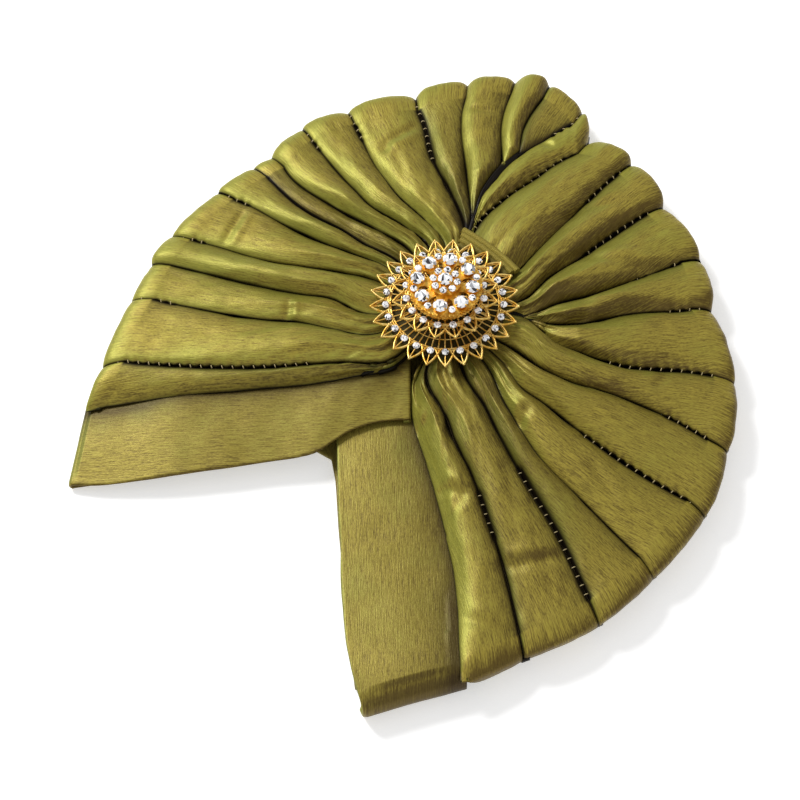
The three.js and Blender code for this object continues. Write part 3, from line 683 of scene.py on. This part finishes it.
# Each band: the way it runs (axis 0 is x, 1 is y), the fold that it is sewn under, its tip's place at the
# rim and at the sewn edge, the tip's height, its end, and along it the rim's place and its top's height
FRONT_BAND = {
    "axis": 0, "fold": 0, "tip": (-166, -160.5), "tip_high": 4.4, "end": -15.5,
    "along": (-166, -150, -135, -120, -100, -80, -64, -56, -49, -43, -36, -27, -15.5),
    "rim": (-80.5, -81.5, -80.3, -78.3, -75.5, -72.6, -70.2, -67.8, -63.0, -58.8, -55.6, -53.2, -52.2),
    "top": (4.4, 6.2, 8.0, 9.6, 10.4, 10.8, 11.6, 12.2, 12.8, 13.1, 13.2, 13.2, 13.2),
}
SIDE_BAND = {
    "axis": 1, "fold": 26, "tip": (-192, -179), "tip_high": 15, "end": -44,
    "along": (-192, -170, -156, -142, -128, -112, -96, -80, -64, -52, -44),
    "rim": (-35.8, -41.5, -43.5, -44.5, -45.5, -46, -47, -47.5, -48, -48, -46),
    "top": (15, 14.6, 13, 11.2, 10.5, 10.5, 10.5, 10.5, 10, 10, 10),
}


def band_edge(band):
    """The band's sewn edge under the fan: places along it and across it, in mm, in rising order."""
    share = np.linspace(0, 1, 80)
    bearing, reach = fold_lines(share)
    bearing = np.radians(bearing[band["fold"]])
    reach = reach[band["fold"]]
    places = (reach * np.sin(bearing), reach * np.cos(bearing))
    tuck = TUCK["under"] * (1 - 0.5 * ease(reach, TUCK["from"], TUCK["to"])) - TUCK["slack"]
    along = places[band["axis"]]
    across = places[1 - band["axis"]] + tuck
    order = np.argsort(along)
    return along[order], across[order]


def band_points(band):
    """The band's points: its tip's roll, its top face and its turned rim, with painted shade where the fan's
    edge lies over it, and place.
    """
    columns = BAND_STEPS["across"]
    radius = band["tip_high"] / 2
    part = np.concatenate([np.zeros(len(HEM)), np.linspace(0, 1, columns)[1:]])
    hem_in, hem_down = (
        np.concatenate([[h[i] for h in HEM], np.full(columns - 1, HEM[-1][i])]) for i in (0, 1)
    )
    tip = band["tip"][0] + (band["tip"][1] - band["tip"][0]) * part

    # Each row across the band: its place along it, its height over the floor or None on the top face,
    # its drop below the top face, and the way that its outer side faces, out along the band and up
    rows = [(tip + far, 0.0, 0.0, 0.0, -1.0) for far in (TURNED_UNDER["far"], TURNED_UNDER["far"] / 2)]
    for turn in np.radians(np.linspace(-90, 90, BAND_STEPS["tip"])):
        out, up = math.cos(turn), math.sin(turn)
        rows.append((tip + radius - radius * out, radius + radius * up, 0.0, -out, up))
    for share in np.linspace(0, 1, BAND_STEPS["along"])[1:]:
        rows.append(((tip + radius) * (1 - share) + band["end"] * share, None, 0.0, 0.0, 1.0))
    rows += [(band["end"] - back + 0 * part, None, drop, 0.0, 1.0) for back, drop in END_HEM]
    edge_along, edge_across = band_edge(band)
    grid, dark, uv = [], [], []
    for along, height, drop, out, up in rows:
        rim = through(band["along"], band["rim"], along)
        inner = np.interp(along, edge_along, edge_across)
        across = rim + (inner - rim) * part + hem_in * (1 - part)
        if up == -1.0:
            across = across + TURNED_UNDER["drawn_in"] * (along - tip) * (1 - part)
        if height is None:
            puff = PUFF["high"] * np.sin(np.pi * part)
            puff = puff * ease(along, band["end"], band["end"] - PUFF["fade"])
            height = through(band["along"], band["top"], along) + puff - drop
        point = [None, None, height - up * hem_down]
        point[band["axis"]] = along - out * hem_down
        point[1 - band["axis"]] = across
        grid.append(np.stack(point, axis=-1))
        # Painted shade on the band beside the fan's free edge, which lies over it
        away = np.clip(inner - TUCK["under"] - across, 0, None)
        dark.append(FAN_SHADE["strength"] * np.exp(-away / FAN_SHADE["wide"]) * (part > 0.2))
        uv.append(np.stack([across, along], axis=-1))
    return np.array(grid), np.array(dark), np.array(uv)


def band_sheet(name, band, node, flip):
    """One band as a cloth. flip turns the order of its points, so that its faces look outwards."""
    points, dark, uv = band_points(band)
    if flip:
        points, dark, uv = points[:, ::-1], dark[:, ::-1], uv[:, ::-1]
    made = grid_mesh(name, points, dark, uv)
    ripple(made, **BAND_RIPPLE)
    shade_by_turn(made)
    finish_cloth(made, BAND_CLOTH, band_taffeta)
    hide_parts(node)


# The bands' taffeta: the same cloth pulled smooth, a little darker, and brown where the fan shades it
band_taffeta = taffeta("smooth_shot_taffeta", "#9a8a3a", "#6f6127", "#82893d", "#483415", "#33240f")
band_sheet("front_strip", FRONT_BAND, "front_band", True)
band_sheet("side_strip", SIDE_BAND, "side_band", False)


# The back layer: a plain flat piece of cotton-backed taffeta that the cap lies on, cut along the head
# opening with its rim turned in.

# Its corner at the head opening would show past the front band's rim, so the points there are drawn back.
# The ones to the left of split move by the first x and y, the others by the second, in metres.
CORNER = {"x_below": -0.045, "y_from": -0.09, "y_to": -0.05, "split": -0.057}
DRAWN_BACK = {"left": (0, 0.012), "right": (0.0025, 0.007)}


def flat_uv(made):
    """Gives a flat cloth a UV map in metres from its plan, and attributes for its material."""
    mesh = made.data
    layer = mesh.uv_layers.new(name="UVMap")
    for loop in mesh.loops:
        layer.data[loop.index].uv = mesh.vertices[loop.vertex_index].co.xy
    mesh.attributes.new("painted_shade", "FLOAT", "POINT")
    turned = mesh.attributes.new("turned", "FLOAT", "POINT")
    turned.data.foreach_set("value", [0.5] * len(mesh.vertices))


def softened_copy(name, node, edge):
    """A copy of a flat cloth's solid with its points merged and its edges rounded."""
    made = put(name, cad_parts[node].data.copy())
    pick(made)
    bpy.ops.object.mode_set(mode="EDIT")
    bpy.ops.mesh.select_all(action="SELECT")
    bpy.ops.mesh.remove_doubles(threshold=0.00001)
    bpy.ops.mesh.dissolve_limited(angle_limit=math.radians(2))
    bpy.ops.object.mode_set(mode="OBJECT")
    soft = made.modifiers.new("soft_edge", "BEVEL")
    soft.width = edge / 1000
    soft.segments = 3
    soft.limit_method = "ANGLE"
    bpy.ops.object.modifier_apply(modifier="soft_edge")
    bpy.ops.object.shade_smooth_by_angle(angle=math.radians(40))
    made.data.materials.clear()
    flat_uv(made)
    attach(made, "root")
    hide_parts(node)
    return made


# The back layer's taffeta: duller and browner, since its cotton side takes the shine off it
back_taffeta = taffeta("cotton_backed_taffeta", "#8c7c3a", "#665a27", "#767a3c", "#4a3a1c", "#2c220f")
back_panel = softened_copy("back_layer", "back_panel", 0.8)
back_panel.data.materials.append(back_taffeta)
for vertex in back_panel.data.vertices:
    x, y, _ = vertex.co
    if x < CORNER["x_below"] and CORNER["y_from"] < y < CORNER["y_to"]:
        right, back = DRAWN_BACK["left" if x < CORNER["split"] else "right"]
        vertex.co.x += right
        vertex.co.y += back


# The hub pad: a round scrap of the taffeta sewn over the gathered ends of the pleats, brown in the
# brooch's shade. Beside the far right pleat its strip is rolled into four soft folds.
PAD = {"radius": 0.0275, "z": 0.0236, "flat": 0.055, "roll": 3.6}
PAD_SHADE = {"strength": 0.85, "from": 0.029, "to": 0.036}

# The strip's line as bearings and reaches, and its folds: how far in from that line and how high
STRIP = ((12, 43.6), (24, 41), (37, 39.4), (48, 39.2), (60, 39.6))
FOLDED = ((1.6, 22.9), (4.6, 23.6), (7.6, 24.0), (10.6, 23.8))


def at_bearing(bearing, reach, z):
    """A place in metres from a bearing in degrees and a reach and height in mm."""
    turn = math.radians(bearing)
    return Vector((reach * math.sin(turn), reach * math.cos(turn), z)) / 1000


def wire(name, points, thick, sides=2, closed=False):
    """A round wire or roll through points, as a mesh. thick is in mm."""
    bpy.ops.curve.primitive_nurbs_path_add()
    made = bpy.context.object
    made.name = name
    curve = made.data
    curve.splines.clear()
    line = curve.splines.new("NURBS")
    line.points.add(len(points) - 1)
    for point, place in zip(line.points, points):
        point.co = (*place, 1)
    line.use_endpoint_u = not closed
    line.use_cyclic_u = closed
    line.order_u = 3
    curve.resolution_u = 3
    curve.bevel_depth = thick / 2000
    curve.bevel_resolution = sides - 1
    curve.use_fill_caps = not closed
    bpy.ops.object.convert(target="MESH")
    bpy.ops.object.shade_smooth()
    return made


def join(name, pieces):
    """Joins pieces into one object with that name."""
    pick(*pieces)
    bpy.ops.object.join()
    bpy.ops.object.transform_apply(location=True, rotation=True, scale=True)
    pieces[0].name = name
    return pieces[0]


def ring_of(piece, count):
    """The piece repeated evenly round the hub, as one object."""
    copies = [piece]
    for i in range(1, count):
        pick(piece)
        bpy.ops.object.duplicate()
        copies.append(bpy.context.object)
        bpy.ops.transform.rotate(
            value=math.radians(360 * i / count), orient_axis="Z", center_override=(0, 0, 0),
        )
    return join(piece.name, copies)


bpy.ops.mesh.primitive_uv_sphere_add(
    segments=48, ring_count=12, radius=PAD["radius"], location=(0, 0, PAD["z"]),
)
disc = bpy.context.object
bpy.ops.transform.resize(value=(1, 1, PAD["flat"]), center_override=(0, 0, PAD["z"]))
bpy.ops.object.transform_apply(location=True, rotation=True, scale=True)
rolls = [
    wire("fold", [at_bearing(bearing, reach - inward, z) for bearing, reach in STRIP], PAD["roll"], 5)
    for inward, z in FOLDED
]
hub_pad = join("hub_pad", [disc, *rolls])
flat_uv(hub_pad)
# Painted shade: the pad is darkened where the brooch lies over it
for vertex in hub_pad.data.vertices:
    shaded = 1 - ease(vertex.co.xy.length, PAD_SHADE["from"], PAD_SHADE["to"])
    hub_pad.data.attributes["painted_shade"].data[vertex.index].value = PAD_SHADE["strength"] * shaded
pick(hub_pad)
bpy.ops.object.shade_smooth()
hub_pad.data.materials.clear()
hub_pad.data.materials.append(pleat_taffeta)
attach(hub_pad, "root")
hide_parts("hub_wrap")


# The stitches: short bars of beige thread across each seam, where a pleat is caught down on the next one.
# Their ends go into the cloth and their middles stand over the seam.
def sewn_fold(k, start, end):
    """The stitches along fold k between two reaches."""
    share = np.linspace(0, 1, STEPS_OUT)
    bearing, reach = (lines[k] for lines in fold_lines(share))
    bars = []
    for at in np.arange(start, end, STITCH["apart"]):
        near = int(np.argmin(np.abs(reach - at)))
        half = math.degrees(STITCH["long"] / 2 / at)
        on_roll = at >= FOLDS[k][1] - EDGE_ROLL
        foot = float(valley_height(share[near])) - on_roll * STITCH["lower_on_roll"]
        top = foot + STITCH["high"]
        bars.append(wire("stitch", [
            at_bearing(bearing[near] - half, at, foot), at_bearing(bearing[near], at + 0.3, top),
            at_bearing(bearing[near] + half, at, foot),
        ], STITCH["thick"], 1))
    return bars


# Beige polyester thread: matt and pale against the cloth. Its twist is too fine to show, so it is drawn
# as darker flecks as long as the thread is thick.
thread = new_material("beige_polyester_thread")
tree = thread.node_tree
twist_at = add_node(tree, "ShaderNodeTexCoord")
twist = add_node(tree, "ShaderNodeTexNoise", {"Scale": 2500.0}, {"Vector": twist_at.outputs["Object"]})
tone = two_tones(tree, twist.outputs["Fac"], "#94804e", "#cfbf90")
add_surface(tree, {"Roughness": 0.6}, {"Base Color": tone.outputs["Color"]})
stitches = join("stitches", [bar for row in SEWN for bar in sewn_fold(*row)])
stitches.data.materials.append(thread)
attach(stitches, "root")


# The brooch's two lower tiers: pointed petals bent from gilt brass wire, soldered where they cross, with
# fine radial wires inside the ring and a small crystal in a cup at the foot of each petal.
OUTER = {"petals": 25, "first": 7.2, "tip": 33.2, "valley": 27.4, "ring": 24.4, "inner": 13.5, "z": 26.8}
MIDDLE = {"petals": 16, "first": 11.25, "tip": 23.5, "valley": 18.9, "ring": 16.4, "inner": 6, "z": 34.8}
WIRE = {"petal": 1.0, "rib": 0.7, "inner_rib": 0.72, "link": 0.7}

# A petal is a pair of wires, the lower one a little smaller: each one's scale and drop. Its side goes
# through shares of half its width and of the way from the valley to the tip.
PETAL_WIRES = ((1.0, 0.0), (0.93, 0.9))
PETAL_SIDE = ((1.0, 0), (0.66, 0.42), (0.25, 0.82), (0, 1))


def gilt(name, light, deep, rough):
    """Polished gilt brass: warm yellow, with patches of a slightly darker tone at random."""
    material = new_material(name)
    tree = material.node_tree
    place = add_node(tree, "ShaderNodeTexCoord")
    gilt_tone_noise = add_node(
        tree, "ShaderNodeTexNoise", {"Scale": 420.0, "Detail": 3.0}, {"Vector": place.outputs["Object"]},
    )
    tone = two_tones(tree, gilt_tone_noise.outputs["Fac"], deep, light)
    tone.color_ramp.elements[0].position = 0.35
    tone.color_ramp.elements[1].position = 0.62
    pits = add_node(tree, "ShaderNodeTexNoise", {"Scale": 1800.0}, {"Vector": place.outputs["Object"]})
    bump = add_node(
        tree, "ShaderNodeBump", {"Strength": 0.4, "Distance": 0.0001}, {"Height": pits.outputs["Fac"]},
    )
    add_surface(
        tree, {"Metallic": 1.0, "Roughness": rough},
        {"Base Color": tone.outputs["Color"], "Normal": bump.outputs["Normal"]},
    )
    return material


gilt_brass = gilt("polished_gilt_brass", "#ffe08a", "#eab548", 0.4)


def bead(name, place, radius):
    """A small gilt ball. radius is in mm."""
    bpy.ops.mesh.primitive_ico_sphere_add(subdivisions=1, radius=radius / 1000, location=place)
    bpy.ops.object.shade_smooth()
    bpy.context.object.name = name
    return bpy.context.object


def petal_tier(name, tier, node):
    """One tier's wires: its petals, the inner ribs and the rings that they are soldered to."""
    first, ring, z = tier["first"], tier["ring"], tier["z"]
    pitch = 360 / tier["petals"]
    tall = tier["tip"] - tier["valley"]
    side = [(1.45, ring)] + [(share, tier["valley"] + tall * way) for share, way in PETAL_SIDE]
    parts = []
    for hand in (-1, 1):
        for scale, drop in PETAL_WIRES:
            parts.append(wire("petal", [
                at_bearing(first + hand * pitch / 2 * share, ring + (reach - ring) * scale, z - drop)
                for share, reach in side
            ], WIRE["petal"], 2))
    rib = [at_bearing(first, reach, z) for reach in (ring, tier["tip"] - 0.6)]
    parts.append(wire("rib", rib, WIRE["rib"], 1))
    parts.append(bead("tip", at_bearing(first, tier["tip"], z), 0.75))
    for bearing in (first, first + pitch / 2):
        inner = [at_bearing(bearing, reach, z) for reach in (tier["inner"], ring)]
        parts.append(wire("inner_rib", inner, WIRE["inner_rib"], 1))
    arc = [
        at_bearing(first + pitch * share, ring + 1.1 * math.sin(math.pi * share), z + 0.25)
        for share in (0, 0.25, 0.5, 0.75, 1)
    ]
    parts.append(wire("link", arc, WIRE["link"], 1))
    parts.append(bead("solder", at_bearing(first + pitch / 2, tier["valley"], z + 0.3), 0.7))
    petals = ring_of(join("petals", parts), tier["petals"])
    hoops = [
        wire("hoop", [at_bearing(10 * i, reach, z - 0.2) for i in range(36)], thick, 2, closed=True)
        for reach, thick in ((ring, 1.0), (ring * 0.8, 0.55), (tier["inner"], 0.8))
    ]
    made = join(name, [petals, *hoops])
    made.data.materials.append(gilt_brass)
    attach(made, "root")
    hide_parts(node)


petal_tier("brooch_outer_wires", OUTER, "brooch_outer_tier")
petal_tier("brooch_middle_wires", MIDDLE, "brooch_middle_tier")


# The crystals: foil-backed glass, cut with a table and rows of small facets, each painted a different grey
# as a painted reflection and glowing faintly as painted light, in gilt cups with bent claws. Small ones
# ring the lower tiers, large ones the top.
SIDES = 8
LARGE_STONE = 3.25
TIER_STONE = 1.75
TOP_STONE = 1.7

# A stone's rings of points: share of the radius, height in mm, turned by half a side
BRILLIANT = ((0.85, 0, 0), (1, 0.7, 0), (1, 1.0, 1), (0.8, 1.7, 0), (0.55, 2.2, 1))
CHATON = ((0.9, -0.3, 0), (1, 0.3, 0), (0.82, 0.75, 1), (0.55, 1.0, 0))


def crystal(name):
    """Foil-backed cut glass: each facet is painted a grey from white to near black, as a painted reflection
    of the room, and glows faintly with it, as painted light.
    """
    material = new_material(name)
    tree = material.node_tree
    facet = add_node(tree, "ShaderNodeAttribute", {"attribute_name": "facet"})
    tone = two_tones(tree, facet.outputs["Fac"], "#2c2a2c", "#9a9ba0")
    tone.color_ramp.interpolation = "CONSTANT"
    tone.color_ramp.elements[1].position = 0.14
    for position, shade in ((0.3, "#dcdee2"), (0.5, "#ffffff")):
        tone.color_ramp.elements.new(position).color = from_hex(shade)
    add_surface(tree, {
        "Metallic": 0.3, "Roughness": 0.08, "Coat Weight": 1.0, "Coat Roughness": 0.02,
        "Emission Strength": 0.25,
    }, {"Base Color": tone.outputs["Color"], "Emission Color": tone.outputs["Color"]})
    return material


cut_glass = crystal("foil_backed_crystal")
dice = np.random.default_rng(7)


def cut_stone(name, place, radius, rings):
    """A stone cut from rings of points, closed as a hull, with a random grey for each of its facets, as
    painted reflections.
    """
    points = []
    for share, z, turned in rings:
        for i in range(SIDES):
            turn = math.tau * (i + turned / 2) / SIDES
            points.append(Vector((
                place[0] + radius * share * math.sin(turn) / 1000,
                place[1] + radius * share * math.cos(turn) / 1000, place[2] + z / 1000,
            )))
    mesh = bpy.data.meshes.new(name)
    mesh.from_pydata(points, [], [])
    made = put(name, mesh)
    pick(made)
    bpy.ops.object.mode_set(mode="EDIT")
    bpy.ops.mesh.select_all(action="SELECT")
    bpy.ops.mesh.convex_hull()
    bpy.ops.object.mode_set(mode="OBJECT")
    # Painted reflections: each facet gets a random grey
    painted_reflections = mesh.attributes.new("facet", "FLOAT", "FACE")
    painted_reflections.data.foreach_set("value", dice.random(len(mesh.polygons)))
    return made


def small_stones(name, places, radius):
    """Small stones as one piece."""
    made = join(name, [cut_stone("stone", place, radius, CHATON) for place in places])
    made.data.materials.append(cut_glass)
    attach(made, "root")
    return made


def around(count, first, reach, z):
    """Places spaced evenly round the hub."""
    return [at_bearing(first + 360 * i / count, reach, z) for i in range(count)]


outer_stones = small_stones("outer_stones", around(25, OUTER["first"], 26.4, 27.6), TIER_STONE)
middle_stones = small_stones("middle_stones", around(16, MIDDLE["first"], 17.6, 35.6), TIER_STONE)
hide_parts("brooch_outer_tier")
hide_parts("brooch_middle_tier")
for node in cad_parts:
    if node.startswith("stone_"):
        low, high = (Vector(corner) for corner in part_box(node))
        place = Vector(((low.x + high.x) / 2, (low.y + high.y) / 2, low.z))
        stone = cut_stone("crystal_" + node.removeprefix("stone_"), place, LARGE_STONE, BRILLIANT)
        stone.data.materials.append(cut_glass)
        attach(stone, "root")
        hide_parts(node)


# The brooch's top: a cast gilt plate with eight leaf-shaped openings on a post, a granular skirt round
# its rim, claws over the large crystals, and two rings of small crystals that stand on the casting.
GRANULES = {"in_a_row": 56, "radius": 0.75, "z": 41.2, "turn": 3}

# The skirt's rows of granules: how far below the first and at what reach
SKIRT = ((0, 16.2), (1.2, 15.9), (2.4, 15.6), (3.5, 15.3))
CLAWS = {"to_a_stone": 4, "first": 45, "reach": 3.0, "radius": 0.55}

# Cast gilt brass: a deeper orange than the wires, because it is thicker and less polished
orange_gilt = gilt("cast_gilt_brass", "#fdd063", "#cf8c22", 0.42)
for node in ("brooch_top", "brooch_pin"):
    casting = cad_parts[node]
    casting.data.materials.clear()
    casting.data.materials.append(orange_gilt)

granules = []
for low, reach in SKIRT:
    place = at_bearing(GRANULES["turn"] * low, reach, GRANULES["z"] - low)
    granules.append(ring_of(bead("granule", place, GRANULES["radius"]), GRANULES["in_a_row"]))
for place in around(8, 10.7, 12.4, 44.4) + around(1, 0, 0, 47.1):
    for claw in range(CLAWS["to_a_stone"]):
        bearing = CLAWS["first"] + 360 / CLAWS["to_a_stone"] * claw
        granules.append(bead("claw", place + at_bearing(bearing, CLAWS["reach"], 0), CLAWS["radius"]))
beads = join("brooch_granules", granules)
beads.data.materials.append(orange_gilt)
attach(beads, "root")
small_stones("top_small_stones", around(8, 33.2, 14.2, 43.0) + around(8, 10.7, 5.4, 45.4), TOP_STONE)
